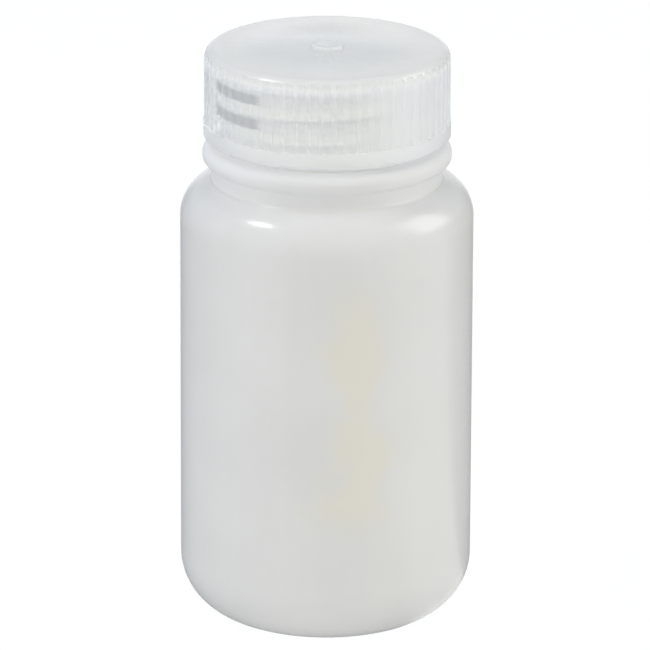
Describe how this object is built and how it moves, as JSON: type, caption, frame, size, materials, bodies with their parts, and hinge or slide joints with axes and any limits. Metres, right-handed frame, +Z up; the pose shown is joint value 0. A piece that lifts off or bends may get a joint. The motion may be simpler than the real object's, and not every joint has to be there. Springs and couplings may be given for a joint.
{
  "type": "reagent bottle",
  "caption": "Wide-mouth translucent plastic reagent bottle, round body and shoulder, bead under a ribbed screw cap that unscrews with its sealing disc.",
  "frame": {"origin": "centre of the base, on the surface that the bottle stands on", "axes": "+Z up along the axis of the bottle, through the mouth; -Y is the side that the picture shows"},
  "size_m": [0.05, 0.05, 0.1011],
  "materials": {
    "bottle_polyethylene": "natural translucent, satin",
    "cap_polypropylene": "natural translucent, semi-gloss",
    "disc_polyethylene": "natural translucent, matt"
  },
  "bodies": {
    "bottle": {"bottle": "bottle_polyethylene"},
    "disc": {"sealing_disc": "disc_polyethylene"},
    "cap": {"screw_cap": "cap_polypropylene"}
  },
  "joints": [
    {"name": "cap_rise", "type": "slide", "parent": "bottle", "child": "disc", "axis": [0, 0, 1], "range_m": [0, 0.01552]},
    {"name": "cap_turn", "type": "hinge", "parent": "disc", "child": "cap", "pos_m": [0, 0, 0], "axis": [0, 0, 1], "range_deg": [0, 1320]}
  ],
  "couplings": [
    {"joint": "cap_rise", "follows": "cap_turn", "m_per_rad": 0.00067375}
  ]
}
